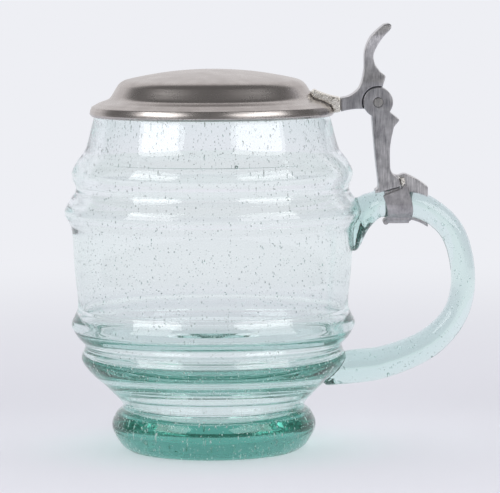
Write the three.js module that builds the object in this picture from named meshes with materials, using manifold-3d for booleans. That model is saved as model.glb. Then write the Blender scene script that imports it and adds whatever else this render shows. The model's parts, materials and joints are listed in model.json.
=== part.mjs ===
// A lidded half-litre beer mug: ring-moulded glass body, hot-applied glass handle,
// spun pewter lid, and a cast pewter hinge that a sheet strap holds to the handle.
// Units are millimetres, +Z is up, +X points towards the handle, and the hinge turns about Y.

import * as THREE from 'three';
import { mergeVertices } from 'three/addons/utils/BufferGeometryUtils.js';
import Module from 'manifold-3d';

const wasm = await Module();
wasm.setup();

// Fineness of the round shapes
const roundSegments = 48;
const pointsPerStation = 3;
const insideStep = 2.6;
const insideFineStep = 1.5;
const rodSides = 24;
const rodSteps = 40;
const padSteps = 16;
const knuckleSegments = 40;

// Gap left between pieces that touch, and clearances of the hinge
const seatGap = 0.3;
const pinClearance = 0.06;
const knuckleGap = 0.25;
const swingClearance = 0.45;

// How far a cutting shape runs past what it cuts
const cutMargin = 1;

// Outside of the glass body, from the foot up to the lip. Every station stands `up` above
// the one before it, and `out` (or, below zero, inside) of the radius of its zone.
const footRadius = 35.8;
const footEdge = { out: -5.6 };
const footHeel = { up: 2.4, out: -2.8 };
const footCrest = { up: 5.8 };
const footShoulder = { up: 4.8, out: -1.7 };

const waistRadius = 31.8;
const waist = { up: 2.7 };
const taperLow = { up: 5.8, out: 5.0 };

const lowRingRadius = 46.3;
const taperHigh = { up: 6.1, out: -2.9 };
const lowRing = { up: 4.7 };
const lowGroove = { up: 4.3, out: -1.35 };

const bellyRadius = 48.5;
const hipRise = { up: 3.2, out: -1.0 };
const hipRing = { up: 4.2, out: 1.2 };
const hipFall = { up: 3.9, out: -0.3 };
const bellyLow = { up: 3.9, out: -1.2 };
const bellyMiddle = { up: 12.7 };
const bellyHigh = { up: 12.1, out: 0.7 };
const beltRise = { up: 3.6, out: 1.9 };
const beltRing = { up: 3.3, out: 3.25 };
const beltFall = { up: 3.9, out: 1.5 };
const beltGroove = { up: 4.0, out: -0.8 };
const collarRing = { up: 5.3, out: 0.6 };
const collarFall = { up: 4.7, out: -1.5 };

const lipRadius = 40.7;
const neckLow = { up: 4.0, out: 3.5 };
const neckHigh = { up: 6.2, out: 1.7 };
const lip = { up: 6.9 };

const outsideZones = [
  [footRadius, [footEdge, footHeel, footCrest, footShoulder]],
  [waistRadius, [waist, taperLow]],
  [lowRingRadius, [taperHigh, lowRing, lowGroove]],
  [bellyRadius, [
    hipRise, hipRing, hipFall, bellyLow, bellyMiddle, bellyHigh,
    beltRise, beltRing, beltFall, beltGroove, collarRing, collarFall,
  ]],
  [lipRadius, [neckLow, neckHigh, lip]],
];

// Adds up the stations of some zones, from a base height, into a height z and a radius r each
function placeStations(zones, base) {
  let z = base;
  for (const [radius, stations] of zones) {
    for (const station of stations) {
      z += station.up ?? 0;
      station.z = z;
      station.r = radius + (station.out ?? 0);
    }
  }
  return zones.flatMap(([, stations]) => stations);
}

const outsideStations = placeStations(outsideZones, 0);

// Inside of the glass body: wall thickness at stations that lie `below` a station of the outside
const lipWall = 2.3;
const bellyWall = 1.5;
const hipCap = { at: bellyLow, below: 1.8, wall: 1.7 };
const hipFallWall = { at: hipFall, below: 0.4, wall: 1.7 };
const hipWall = { at: hipRing, below: 1.5, wall: 2.6 };
const hipLowWall = { at: hipRing, below: 4.0, wall: 4.9 };
const hipRiseWall = { at: hipRise, below: 1.8, wall: 3.2 };
const grooveWall = { at: lowGroove, below: 0.1, wall: 3.3 };
const grooveUnderWall = { at: lowGroove, below: 1.6, wall: 2.9 };
const ledgeTop = { at: lowGroove, below: 2.8, wall: 3.5 };
const ledgeHigh = { at: lowGroove, below: 4.0, wall: 3.0 };
const ledgeMiddle = { at: lowRing, below: 0.9, wall: 5.9 };
const ledgeLow = { at: lowRing, below: 2.1, wall: 8.1 };
const ledgeBottom = { at: lowRing, below: 3.3, wall: 8.6 };
const ledgeFoot = { at: lowRing, below: 4.5, wall: 8.5 };
const taperHighWall = { at: taperHigh, below: 2.6, wall: 10.7 };
const taperWall = { at: taperHigh, below: 4.6, wall: 6.6 };
const taperLowWall = { at: taperLow, below: 1.0, wall: 4.9 };
const waistWall = { at: waist, below: 0.2, wall: 3.3 };
const shoulderWall = { at: waist, below: 2.1, wall: 1.4 };
const wallStations = [
  hipCap, hipFallWall, hipWall, hipLowWall, hipRiseWall, grooveWall, grooveUnderWall, ledgeTop,
  ledgeHigh, ledgeMiddle, ledgeLow, ledgeBottom, ledgeFoot, taperHighWall, taperWall, taperLowWall,
  waistWall, shoulderWall,
];
const floorHeight = 11.1;
const floorRise = 1.5;
const floorCorner = 5.1;
const ringSoftness = 0.5;
const kickHeight = 1.2;
const kickRadius = 18;
const lipRounding = 0.8;
const lipEase = 0.24;

// Glass handle: a rod bent into a loop, and the pad that its upper end is pressed into
const rodHalfHeight = 4.75;
const rodHalfWidth = 5.0;
const rodSlimHalf = 4.3;
const rodLowHalf = 6.0;
const gripAboveBelt = 2.15;
const gripBelowLowRing = 4.0;
const gripBeyondBelt = 40.15;
const padBelowBelt = 5.1;
const padHalfHeight = 9.6;
const padHalfWidth = 8.4;

// Points of the handle's middle line: the straight stretch under the hinge, measured from the
// pin and the strap, and the run into the low ring, measured from the ring's side
const rodStart = { x: -1.5 };
const rodStraightEnd = { x: 6.5, z: -0.2 };
const rodLand = { x: 15.5, z: 1.6 };
const rodTouch = { x: 6.5, z: 0.3 };
const rodSunk = { x: -5.5, z: -0.9 };
const rodEase = 0.3;

// Sections of the pad, measured from the body's side and the pad's height
const padRoot = { x: -5.0, z: -0.2, grow: 0.3 };
const padFace = { x: 0.8, z: 0.2, grow: -0.3 };
const padShoulder = { x: 2.9, z: 2.4, grow: -1.4 };
const padThroat = { x: 5.2, z: 4.9, grow: 1.5 };
const padNeck = { x: 8.0, z: 6.65, grow: 0.3 };
const padEnd = { x: 1.0 };
const gripTop = beltRing.z + gripAboveBelt;
const gripBottom = lowRing.z - gripBelowLowRing;
const gripReach = beltRing.r + gripBeyondBelt;
const padHeight = beltRing.z - padBelowBelt;

// Lid: spun pewter sheet. Stations run from the rim's edge to the dome's shoulder, and
// stand `up` above the one before and `out` of the rim's or the dome's radius.
const lidSheet = 1.25;
const skirtClearance = 0.85;
const skirtDepth = 1.7;
const lidBand = 1.1;
const flangeWidth = 10.05;
const lidHem = { out: -0.7 };
const lidEdge = { up: 0.8 };
const lidBandMiddle = { up: 1.2, out: -0.2 };
const lidBandTop = { up: 1.3, out: -0.75 };
const flangeEdge = { up: 0.4, out: -1.5 };
const flangeSlope = { up: 1.0, out: -3.4 };
const flangeFoot = { up: 0.9, out: -5.9 };
const coveFoot = { up: 0.8, out: 2.9 };
const coveMiddle = { up: 1.7, out: 1.75 };
const coveTop = { up: 1.6, out: 0.8 };
const domeEdge = { up: 1.2 };
const domeShoulder = { up: 1.1, out: -1.3 };
const domeStart = { up: 0.8, out: -3.4 };
const domeCrown = 3.4;
const spigotClearance = 0.7;
const spigotDepth = 1.5;
const spigotWidth = 1.2;

// Hinge: five knuckles on one pin, out beyond the lid's rim
const hingeReach = 15.1;
const hingeRise = 2.8;
const knuckleRadius = 5.2;
const pinRadius = 1.6;
const pinProud = 0.25;
const castHalfWidth = 5.6;
const openAngle = 110;

// Thumb lift: arm from the lid, swept lever and stop spur. Points are distances from the pin.
const armStart = { fromRim: 2.2, z: -3.2 };
const armHeight = 4.8;
const armCrook = { x: -9.8, z: 2.3 };
const armUnder = { x: -8.5, z: -1.9 };
const leverRoot = { x: -6.4, z: 5.3 };
const leverWaist = { x: -4.9, z: 11.0 };
const leverBack = { x: -4.6, z: 17.6 };
const leverSweep = { x: -2.4, z: 22.8 };
const leverTip = { x: 2.1, z: 27.0 };
const leverCrest = { x: 3.9, z: 27.3 };
const leverLip = { x: 4.7, z: 26.3 };
const leverHook = { x: 4.0, z: 24.9 };
const leverHollow = { x: 1.2, z: 21.9 };
const leverPalm = { x: -1.4, z: 17.0 };
const leverFront = { x: -1.1, z: 13.4 };
const leverHeel = { x: 1.1, z: 10.2 };
const spurRadius = 9.7;
const spurBlunt = 0.4;
const spurAngle = 73.5;
const spurWedge = 3.0;
const stopGapAngle = 3.0;
const armHollowAngle = 207;

// The lever from the front: half widths, and the heights above the pin where they change
const waistHalfWidth = 4.9;
const thumbHalfWidth = 6.6;
const thumbCornerWidth = 3.0;
const thumbCornerHeight = 5.0;
const thumbMargin = 0.9;
const widthStart = 7.0;
const waistBottom = 10.0;
const waistMiddle = 13.0;
const waistTop = 18.0;

// Post: the shank that stands on the handle, its foot and the tongue along the glass.
// x is from the pin; `down` is below the pin, and `up` above the top of the handle's rod.
const shankLeft = -1.9;
const shankWidth = 6.0;
const shankRoundAngle = -115;
const shankShoulder = { x: 0, down: 9.0 };
const shankMiddle = { x: 0.9, up: 11.45 };
const shankAnkle = { x: 1.9, up: 2.2 };
const shankFoot = { x: 1.5, up: 0.6 };
const shankToe = { x: 0.9, up: 0.4 };
const shankSole = { x: 0.7, up: -0.9 };
const plateSole = { x: 7.8, up: 1.6 };
const plateTop = { x: 7.2, up: 4.4 };
const plateEdge = { x: 5.4, up: 5.6 };
const shankCrook = { x: 0.3, up: 7.1 };
const shankCalf = { x: 0, up: 9.6 };
const shankKnee = { x: 0.1, down: 15.0 };
const shankNeck = { x: 1.4, down: 8.6 };
const spurRoot = 0.2;
const cheekLeft = 2.0;
const cheekRight = 7.6;
const cheekTop = 2.2;
const tongueReach = 17.4;
const tongueLeft = 4.0;
const tongueHalfWidth = 3.2;
const tongueTipRise = 1.2;
const tongueSlope = { x: 14.6, up: 3.3 };
const tongueBrow = { x: 11.1, up: 5.2 };
const tongueCrest = { x: 9.0, up: 5.9 };
const tongueDip = { x: 6.9, up: 5.3 };
const tongueRoot = { x: 4.6, up: 5.9 };

// Strap of sheet round the handle. x is from the strap's left or right edge, z from the
// rod's middle, going up the right edge, over the ear and down the left edge.
const strapFromPin = 6.6;
const strapSheet = 1.1;
const strapWidth = 9.2;
const strapRightLow = { x: -0.2 };
const strapRightBend = { x: 0.8, z: -3.4 };
const strapRightBulge = { x: 0.9, z: -1.4 };
const strapRightTop = { x: 0.5, z: 1.2 };
const strapEarRight = { x: -0.8, z: 5.35 };
const strapEarTip = { x: -1.6, z: 7.15 };
const strapEarLeft = { x: -3.0, z: 5.75 };
const strapLeftTop = { x: -0.4, z: 3.25 };
const strapLeftWaist = { x: 0.4, z: 1.0 };
const strapLeftBend = { x: 1.1, z: -2.2 };
const strapLeftLow = { x: 1.4 };
const strapTailHalfWidth = 2.4;
const strapTailSheet = 0.66;
const strapLap = 0.8;
const strapLapInset = 0.8;
const strapLapRise = 0.4;
const strapCurl = 1.0;
const strapCurlInset = 0.7;
const strapCurlSide = 1.4;

// Solder: the leaf that joins arm and lid, and the beads between strap and tongue
const lidSolderHalfWidth = 6.7;
const lidSolderSink = 1.0;
const lidSolderCrest = { x: 1.3, z: 0.9 };
const lidSolderBelly = { fromRim: -3.0, z: 2.4 };
const lidSolderHeel = { fromRim: 0.6, z: -3.4 };
const lidSolderReach = 6.0;
const strapSolderWidth = 1.2;
const strapSolderTop = { x: 0.5, z: 0.2 };
const strapSolderProud = 0.4;

const pewterLid = { color: 0x8f8a84, roughness: 0.34, metalness: 1.0 };
const pewterCast = { color: 0x76777c, roughness: 0.48, metalness: 1.0 };
const solder = { color: 0xb9b5aa, roughness: 0.28, metalness: 1.0 };
const greenGlass = { color: 0xcfe4e0, roughness: 0.05, metalness: 0.0 };

// Geometry helpers

function closedMesh(geometry) {
  const bare = geometry.clone();
  bare.deleteAttribute('normal');
  bare.deleteAttribute('uv');
  const merged = mergeVertices(bare, 1e-4);
  const kept = [];
  const index = merged.index.array;
  for (let i = 0; i < index.length; i += 3) {
    const [a, b, c] = [index[i], index[i + 1], index[i + 2]];
    if (a !== b && b !== c && c !== a) kept.push(a, b, c);
  }
  merged.setIndex(kept);
  return merged;
}

function toSolid(geometry) {
  const merged = closedMesh(geometry);
  return new wasm.Manifold(new wasm.Mesh({
    numProp: 3,
    vertProperties: new Float32Array(merged.attributes.position.array),
    triVerts: new Uint32Array(merged.index.array),
  }));
}

function toGeometry(solid) {
  const mesh = solid.getMesh();
  const geometry = new THREE.BufferGeometry();
  const points = [];
  for (let i = 0; i < mesh.vertProperties.length; i += mesh.numProp) {
    points.push(mesh.vertProperties[i], mesh.vertProperties[i + 1], mesh.vertProperties[i + 2]);
  }
  geometry.setAttribute('position', new THREE.Float32BufferAttribute(points, 3));
  geometry.setIndex(Array.from(mesh.triVerts));
  geometry.computeVertexNormals();
  return geometry;
}

// Turns a profile of [radius, height] points round the Z axis
function turned(profile) {
  const points = profile.map(([r, z]) => new THREE.Vector2(Math.max(r, 0), z));
  const geometry = new THREE.LatheGeometry(points, roundSegments);
  geometry.rotateX(Math.PI / 2);
  return closedMesh(geometry);
}

// Extrudes a shape drawn in X and Z along Y, between two Y positions
function prism(shape, fromY, toY) {
  const options = { depth: toY - fromY, bevelEnabled: false, curveSegments: 10 };
  const geometry = new THREE.ExtrudeGeometry(shape, options);
  geometry.rotateX(Math.PI / 2);
  geometry.translate(0, toY, 0);
  return toSolid(geometry);
}

// Extrudes a shape drawn in Y and Z along X, between two X positions
function prismAlongX(shape, fromX, toX) {
  const options = { depth: toX - fromX, bevelEnabled: false, curveSegments: 8 };
  const geometry = new THREE.ExtrudeGeometry(shape, options);
  const turn = new THREE.Matrix4().makeBasis(
    new THREE.Vector3(0, 1, 0), new THREE.Vector3(0, 0, 1), new THREE.Vector3(1, 0, 0),
  );
  geometry.applyMatrix4(turn);
  geometry.translate(fromX, 0, 0);
  return toSolid(geometry);
}

function polygon(points) {
  return new THREE.Shape(points.map(([x, z]) => new THREE.Vector2(x, z)));
}

// A round bar along Y
function barAlongY(x, z, radius, fromY, toY) {
  const geometry = new THREE.CylinderGeometry(radius, radius, toY - fromY, knuckleSegments);
  geometry.translate(x, (fromY + toY) / 2, z);
  return toSolid(geometry);
}

// Joins elliptical rings into one closed skin with flat ends
function loft(rings) {
  const sides = rodSides;
  const points = [];
  const faces = [];
  for (const ring of rings) {
    for (let j = 0; j < sides; j++) {
      const angle = (2 * Math.PI * j) / sides;
      const up = Math.cos(angle) * ring.halfHeight;
      points.push(ring.x + ring.upX * up, Math.sin(angle) * ring.halfWidth, ring.z + ring.upZ * up);
    }
  }
  for (let i = 0; i < rings.length - 1; i++) {
    for (let j = 0; j < sides; j++) {
      const a = i * sides + j;
      const b = i * sides + ((j + 1) % sides);
      faces.push(a, a + sides, b, b, a + sides, b + sides);
    }
  }
  const first = points.length / 3;
  points.push(rings[0].x, 0, rings[0].z);
  const last = first + 1;
  const end = rings[rings.length - 1];
  points.push(end.x, 0, end.z);
  const offset = (rings.length - 1) * sides;
  for (let j = 0; j < sides; j++) {
    const k = (j + 1) % sides;
    faces.push(first, j, k);
    faces.push(last, offset + k, offset + j);
  }
  const geometry = new THREE.BufferGeometry();
  geometry.setAttribute('position', new THREE.Float32BufferAttribute(points, 3));
  geometry.setIndex(faces);
  return geometry;
}

// Glass body

const outsideCurve = new THREE.SplineCurve(outsideStations.map((s) => new THREE.Vector2(s.r, s.z)));
const outsideSteps = pointsPerStation * (outsideStations.length - 1);
const outsidePoints = outsideCurve.getPoints(outsideSteps).map((p) => [p.x, p.y]);

// Radius of the outside at a height
function outsideRadius(z) {
  for (let i = 1; i < outsidePoints.length; i++) {
    const [r0, z0] = outsidePoints[i - 1];
    const [r1, z1] = outsidePoints[i];
    if (z <= z1) return r0 + ((r1 - r0) * (Math.max(z, z0) - z0)) / (z1 - z0);
  }
  return lip.r;
}

// The blown inside follows the upper rings more softly than the mould's outside does
function softRadius(z) {
  const nearby = [-1, -0.5, 0, 0.5, 1].map((share) => outsideRadius(z + share * ringSoftness));
  return nearby.reduce((sum, r) => sum + r, 0) / nearby.length;
}

// Inside from the lip down: even steps along the belly and neck, then from wall station to station
function insidePoints(top) {
  const points = [];
  const steps = Math.ceil((top - bellyLow.z) / insideStep);
  for (let i = 0; i < steps; i++) {
    const z = THREE.MathUtils.lerp(top, bellyLow.z, i / steps);
    const lipShare = THREE.MathUtils.smoothstep(z, neckLow.z, lip.z);
    points.push([softRadius(z) - THREE.MathUtils.lerp(bellyWall, lipWall, lipShare), z]);
  }
  const stations = wallStations.map((s) => ({ z: s.at.z - s.below, wall: s.wall }));
  for (let i = 0; i < stations.length; i++) {
    const high = stations[i];
    const low = stations[i + 1] ?? high;
    const parts = Math.max(1, Math.round((high.z - low.z) / insideFineStep));
    for (let j = 0; j < parts; j++) {
      const z = THREE.MathUtils.lerp(high.z, low.z, j / parts);
      points.push([outsideRadius(z) - THREE.MathUtils.lerp(high.wall, low.wall, j / parts), z]);
    }
  }
  return points;
}

// The corner between wall and floor, a quarter of an ellipse down to the floor's height
function floorCornerPoints(wallRadius) {
  const steps = 4;
  const points = [];
  for (let i = 1; i <= steps; i++) {
    const angle = (Math.PI / 2) * (i / steps);
    const r = wallRadius - floorCorner * (1 - Math.cos(angle));
    points.push([r, floorHeight + floorRise * (1 - Math.sin(angle))]);
  }
  return points;
}

function glassBody() {
  const kick = [0, 0.4, 0.7, 0.9].map((share) => [kickRadius * share, kickHeight * (1 - share ** 3)]);
  const outside = outsidePoints.slice(0, -1);
  const innerLip = lip.r - lipWall;
  const rim = [
    [lip.r, lip.z - lipRounding], [lip.r - lipEase, lip.z - lipEase], [lip.r - lipRounding, lip.z],
    [innerLip + lipRounding, lip.z], [innerLip + lipEase, lip.z - lipEase],
  ];
  const inside = insidePoints(lip.z - 2 * lipRounding);
  const corner = floorCornerPoints(inside[inside.length - 1][0]);
  return turned([...kick, [kickRadius, 0], ...outside, ...rim, ...inside, ...corner, [0, floorHeight]]);
}

// The body's outside as a plain solid, grown by a gap, to cut what lies against it
function bodyEnvelope(gap) {
  const profile = [[0, -gap], [footEdge.r + gap, -gap]];
  for (const [r, z] of outsidePoints) profile.push([r + gap, z]);
  profile.push([0, lip.z]);
  return toSolid(turned(profile));
}

// Glass handle

const hingeX = lip.r + skirtClearance + lidBand + hingeReach;
const hingeZ = lip.z + hingeRise;
const strapCentreX = hingeX + strapFromPin;
const bodySideLow = outsideRadius(gripBottom);
const bodySideHigh = outsideRadius(padHeight);

function gripStations() {
  const startX = strapCentreX + rodStraightEnd.x;
  const spanX = gripReach - rodSlimHalf - startX;
  const spanZ = gripTop - gripBottom;
  const straight = { z: gripTop, h: rodHalfHeight, w: rodHalfWidth };
  const stations = [
    { x: hingeX + rodStart.x, ...straight },
    { x: strapCentreX, ...straight },
    { x: startX, z: gripTop + rodStraightEnd.z, h: rodHalfHeight, w: rodHalfWidth },
  ];
  const loop = [
    { out: 0.46, up: 0.927, slim: 0.85 },
    { out: 0.82, up: 0.80, slim: 0.95 },
    { out: 1.0, up: 0.53, slim: 1 },
    { out: 0.83, up: 0.32, slim: 0.9 },
    { out: 0.28, up: 0.145, slim: 0.5 },
  ];
  for (const { out, up, slim } of loop) {
    const thick = up > 0.5 ? rodHalfHeight : rodLowHalf;
    const h = THREE.MathUtils.lerp(thick, rodSlimHalf, slim);
    stations.push({ x: startX + spanX * out, z: gripBottom + spanZ * up, h, w: h + rodEase });
  }
  const low = [[rodLand, -rodEase, 0], [rodTouch, 0, rodEase], [rodSunk, -rodEase, 2 * rodEase]];
  for (const [point, growHeight, growWidth] of low) {
    stations.push({
      x: bodySideLow + point.x,
      z: gripBottom + point.z,
      h: rodLowHalf + growHeight,
      w: rodLowHalf + growWidth,
    });
  }
  return stations;
}

// The bent rod, with every section grown by a gap
function gripRod(gap) {
  const stations = gripStations();
  const path = new THREE.CatmullRomCurve3(stations.map((s) => new THREE.Vector3(s.x, 0, s.z)));
  const sizes = new THREE.CatmullRomCurve3(stations.map((s) => new THREE.Vector3(s.h, s.w, 0)));
  const rings = [];
  for (let i = 0; i <= rodSteps; i++) {
    const centre = path.getPoint(i / rodSteps);
    const size = sizes.getPoint(i / rodSteps);
    const along = path.getTangent(i / rodSteps);
    rings.push({
      x: centre.x, z: centre.z, upX: -along.z, upZ: along.x,
      halfHeight: size.x + gap, halfWidth: size.y + gap,
    });
  }
  return toSolid(loft(rings));
}

// The pad that the rod's end spreads into, in upright sections, each grown by a gap
function gripPad(gap) {
  const pressed = [padRoot, padFace, padShoulder].map((s) => ({
    x: bodySideHigh + s.x, z: padHeight + s.z, h: padHalfHeight + s.grow, w: padHalfWidth + s.grow,
  }));
  const drawn = [padThroat, padNeck].map((s) => ({
    x: bodySideHigh + s.x, z: padHeight + s.z, h: rodHalfHeight + s.grow, w: rodHalfWidth + s.grow,
  }));
  const end = { x: hingeX + padEnd.x, z: gripTop, h: rodHalfHeight, w: rodHalfWidth };
  const stations = [...pressed, ...drawn, end];
  const path = new THREE.CatmullRomCurve3(stations.map((s) => new THREE.Vector3(s.x, 0, s.z)));
  const sizes = new THREE.CatmullRomCurve3(stations.map((s) => new THREE.Vector3(s.h, s.w, 0)));
  const rings = [];
  for (let i = 0; i <= padSteps; i++) {
    const centre = path.getPoint(i / padSteps);
    const size = sizes.getPoint(i / padSteps);
    rings.push({
      x: centre.x, z: centre.z, upX: 0, upZ: 1,
      halfHeight: size.x + gap, halfWidth: size.y + gap,
    });
  }
  return toSolid(loft(rings));
}

// Rod and pad together, before they are cut to the body
function gripBlank(gap) {
  return gripRod(gap).add(gripPad(gap));
}

function glassHandle() {
  return gripBlank(0).subtract(bodyEnvelope(seatGap));
}

// Lid

const seatZ = lip.z + seatGap;
const skirtInner = lip.r + skirtClearance;
const lidRim = skirtInner + lidBand;
const rimZ = lip.z - skirtDepth;
const lidZones = [
  [lidRim, [lidHem, lidEdge, lidBandMiddle, lidBandTop, flangeEdge, flangeSlope, flangeFoot]],
  [lidRim - flangeWidth, [coveFoot, coveMiddle, coveTop, domeEdge, domeShoulder, domeStart]],
];
const lidStations = placeStations(lidZones, rimZ);
const crownZ = domeStart.z + domeCrown;

// Outer profile of the lid: its stations, then the low dome
function lidOutside() {
  const points = lidStations.map((s) => [s.r, s.z]);
  const domeSteps = 5;
  for (let i = 1; i <= domeSteps; i++) {
    const r = domeStart.r * (1 - i / domeSteps);
    points.push([r, crownZ - domeCrown * (r / domeStart.r) ** 2]);
  }
  return points;
}

// Moves the points of an outer profile inwards by the sheet's thickness, square to the profile
function sheetInside(points, from) {
  const inside = [];
  for (let i = points.length - 1; i >= from; i--) {
    const [r0, z0] = points[i - 1];
    const [r1, z1] = points[Math.min(i + 1, points.length - 1)];
    const length = Math.hypot(r1 - r0, z1 - z0);
    const r = points[i][0] - (lidSheet * (z1 - z0)) / length;
    const z = points[i][1] + (lidSheet * (r1 - r0)) / length;
    inside.push([i === points.length - 1 ? 0 : r, z]);
  }
  return inside;
}

function lidShell() {
  const outside = lidOutside();
  const inside = sheetInside(outside, lidStations.indexOf(coveFoot));
  const spigotOuter = lip.r - lipWall - spigotClearance;
  const spigotInner = spigotOuter - spigotWidth;
  return turned([
    [skirtInner, rimZ], ...outside, ...inside,
    [spigotInner, flangeFoot.z - lidSheet], [spigotInner, seatZ - spigotDepth],
    [spigotOuter, seatZ - spigotDepth], [spigotOuter, seatZ], [skirtInner, seatZ], [skirtInner, rimZ],
  ]);
}

// The lid's outer form, grown by a gap, to cut what is soldered on it
function lidEnvelope(gap) {
  const profile = [[0, rimZ - gap], [lidRim + gap, rimZ - gap]];
  for (const [r, z] of lidOutside()) {
    profile.push([r > 0 ? r + gap : 0, z + gap]);
  }
  return toSolid(turned(profile));
}

// Hinge

const knuckleCount = 5;
const knuckleWidth = (2 * castHalfWidth - (knuckleCount - 1) * knuckleGap) / knuckleCount;
const clearRadius = knuckleRadius + swingClearance;
const footTop = gripTop + rodHalfHeight;
const armX = lidRim + armStart.fromRim;
const stopAngle = spurAngle - openAngle - stopGapAngle;

// Adds this casting's knuckles, clears the other's, and bores both for the pin
function withKnuckles(casting, own) {
  let solid = casting;
  for (let i = 0; i < knuckleCount; i++) {
    if (own.includes(i)) continue;
    const from = -castHalfWidth + i * (knuckleWidth + knuckleGap);
    const low = from - (i === 0 ? cutMargin : knuckleGap);
    const high = from + knuckleWidth + (i === knuckleCount - 1 ? cutMargin : knuckleGap);
    solid = solid.subtract(barAlongY(hingeX, hingeZ, clearRadius, low, high));
  }
  for (const i of own) {
    const from = -castHalfWidth + i * (knuckleWidth + knuckleGap);
    solid = solid.add(barAlongY(hingeX, hingeZ, knuckleRadius, from, from + knuckleWidth));
  }
  const bore = pinRadius + pinClearance;
  const boreEnd = castHalfWidth + cutMargin;
  return solid.subtract(barAlongY(hingeX, hingeZ, bore, -boreEnd, boreEnd));
}

// A point at an angle and a distance from the pin
function around(angle, radius) {
  const turn = THREE.MathUtils.degToRad(angle);
  return [hingeX + radius * Math.cos(turn), hingeZ + radius * Math.sin(turn)];
}

function fromPin(point) {
  return new THREE.Vector2(hingeX + point.x, hingeZ + point.z);
}

// The lever seen from the front: narrow above the hinge, flared at the thumb rest
function leverOutline() {
  const top = hingeZ + leverCrest.z + thumbMargin;
  const cornerZ = top - thumbCornerHeight;
  const outline = new THREE.Shape();
  outline.moveTo(-castHalfWidth, hingeZ - knuckleRadius - cutMargin);
  outline.lineTo(castHalfWidth, hingeZ - knuckleRadius - cutMargin);
  outline.lineTo(castHalfWidth, hingeZ + widthStart);
  outline.quadraticCurveTo(waistHalfWidth, hingeZ + waistBottom, waistHalfWidth, hingeZ + waistMiddle);
  outline.quadraticCurveTo(waistHalfWidth, hingeZ + waistTop, thumbHalfWidth, cornerZ);
  outline.quadraticCurveTo(thumbHalfWidth, top, thumbHalfWidth - thumbCornerWidth, top);
  outline.lineTo(thumbCornerWidth - thumbHalfWidth, top);
  outline.quadraticCurveTo(-thumbHalfWidth, top, -thumbHalfWidth, cornerZ);
  outline.quadraticCurveTo(-waistHalfWidth, hingeZ + waistTop, -waistHalfWidth, hingeZ + waistMiddle);
  outline.quadraticCurveTo(-waistHalfWidth, hingeZ + waistBottom, -castHalfWidth, hingeZ + widthStart);
  outline.closePath();
  return outline;
}

function thumbLift() {
  const armBottom = hingeZ + armStart.z;
  const lever = new THREE.Shape();
  lever.moveTo(armX, armBottom);
  lever.lineTo(armX, armBottom + armHeight);
  lever.splineThru([armCrook, leverRoot, leverWaist, leverBack, leverSweep, leverTip].map(fromPin));
  lever.splineThru([leverCrest, leverLip, leverHook].map(fromPin));
  lever.splineThru([leverHollow, leverPalm, leverFront, leverHeel].map(fromPin));
  lever.lineTo(...around(spurAngle + spurWedge, spurRadius));
  lever.lineTo(...around(spurAngle, spurRadius - spurBlunt));
  lever.lineTo(...around(spurAngle, clearRadius));
  lever.lineTo(hingeX, hingeZ);
  lever.lineTo(...around(armHollowAngle, knuckleRadius));
  lever.quadraticCurveTo(hingeX + armUnder.x, hingeZ + armUnder.z, armX, armBottom);
  const slab = prism(lever, -thumbHalfWidth, thumbHalfWidth);
  const lipX = hingeX + leverLip.x + cutMargin;
  const casting = slab.intersect(prismAlongX(leverOutline(), armX - cutMargin, lipX));
  return withKnuckles(casting, [1, 3]);
}

// A point of the post: x from a line, and a height above the rod or below the pin
function postPoint(originX, point) {
  const z = point.down === undefined ? footTop + point.up : hingeZ - point.down;
  return new THREE.Vector2(originX + point.x, z);
}

function hingePost() {
  const left = hingeX + shankLeft;
  const right = left + shankWidth;
  const onLeft = (point) => postPoint(left, point);
  const onRight = (point) => postPoint(right, point);
  const onPin = (point) => postPoint(hingeX, point);
  const shank = new THREE.Shape();
  shank.moveTo(hingeX, hingeZ);
  shank.lineTo(...around(shankRoundAngle, knuckleRadius));
  shank.splineThru([shankShoulder, shankMiddle, shankAnkle, shankFoot, shankToe].map(onLeft));
  shank.lineTo(...onLeft(shankSole));
  shank.lineTo(...onPin(plateSole));
  shank.lineTo(...onPin(plateTop));
  shank.splineThru([onPin(plateEdge), ...[shankCrook, shankCalf, shankKnee, shankNeck].map(onRight)]);
  shank.lineTo(...around(stopAngle, spurRadius));
  shank.lineTo(...around(stopAngle, knuckleRadius - spurRoot));
  const cheeks = polygon([
    [hingeX + cheekLeft, gripTop], [hingeX + cheekRight, gripTop],
    [hingeX + cheekRight, footTop + cheekTop], [hingeX + cheekLeft, footTop + cheekTop],
  ]);
  const tongue = new THREE.Shape();
  tongue.moveTo(hingeX + tongueLeft, gripTop);
  tongue.lineTo(hingeX + tongueReach, gripTop);
  tongue.lineTo(hingeX + tongueReach, footTop + tongueTipRise);
  tongue.splineThru([tongueSlope, tongueBrow, tongueCrest, tongueDip, tongueRoot].map(onPin));
  const saddle = prism(cheeks, -rodHalfWidth, rodHalfWidth)
    .add(prism(tongue, -tongueHalfWidth, tongueHalfWidth));
  const casting = prism(shank, -castHalfWidth, castHalfWidth).add(saddle).subtract(gripBlank(seatGap));
  return withKnuckles(casting, [0, 2, 4]);
}

function hingePin() {
  const half = castHalfWidth + pinProud;
  return barAlongY(hingeX, hingeZ, pinRadius, -half, half);
}

// Strap

const strapInner = rodHalfWidth + seatGap;
const strapOuter = strapInner + strapSheet;
const strapLeft = strapCentreX - strapWidth / 2;
const strapRight = strapCentreX + strapWidth / 2;

function strapFace(low) {
  const onRight = [
    strapRightBend, strapRightBulge, strapRightTop, strapEarRight, strapEarTip, strapEarLeft,
  ];
  const onLeft = [strapLeftTop, strapLeftWaist, strapLeftBend];
  return polygon([
    [strapLeft + strapLeftLow.x, low], [strapRight + strapRightLow.x, low],
    ...onRight.map((s) => [strapRight + s.x, gripTop + s.z]),
    ...onLeft.map((s) => [strapLeft + s.x, gripTop + s.z]),
  ]);
}

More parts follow.
